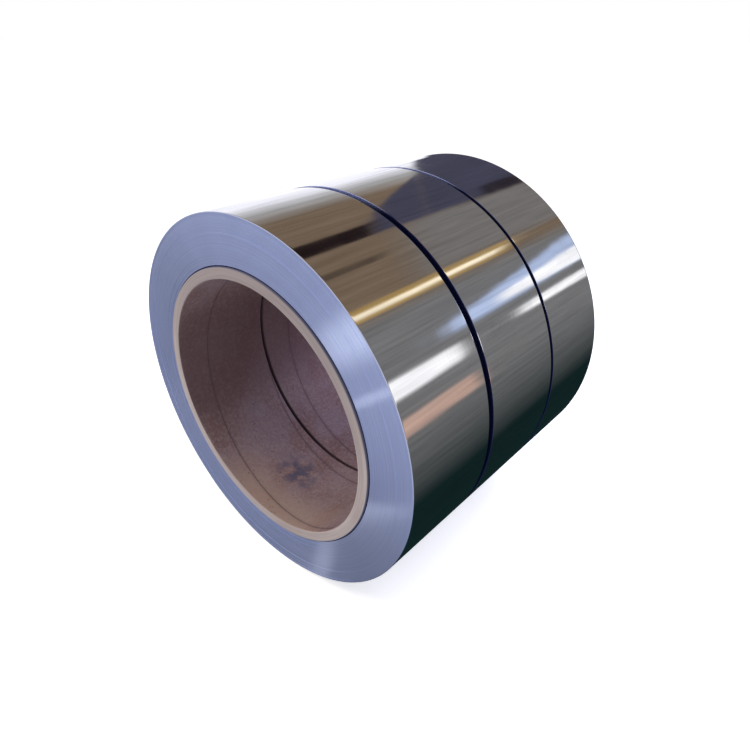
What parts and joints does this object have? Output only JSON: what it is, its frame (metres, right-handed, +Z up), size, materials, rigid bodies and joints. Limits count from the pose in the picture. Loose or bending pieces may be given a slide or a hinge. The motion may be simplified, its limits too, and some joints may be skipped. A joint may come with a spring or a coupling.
{
  "type": "slit steel coil",
  "caption": "Bright steel strip slit lengthwise and wound side by side on cardboard cores, lying on its side with an open bore.",
  "frame": {"origin": "on the floor under the middle of the coil, at the centre of its footprint", "axes": "+Z up, Y along the coil's axis with the near end at -Y, X across"},
  "size_m": [0.7354, 0.622, 0.7354],
  "materials": {
    "steel_strip": "bright annealed, mirror-like on the outer wrap and satin on the slit edges",
    "core_board": "spiral-wound paper board, matt and scuffed"
  },
  "bodies": {
    "root": {"strip_roll_front": "steel_strip", "strip_roll_middle": "steel_strip", "strip_roll_back": "steel_strip", "cardboard_core_front": "core_board", "cardboard_core_middle": "core_board", "cardboard_core_back": "core_board"}
  },
  "joints": []
}
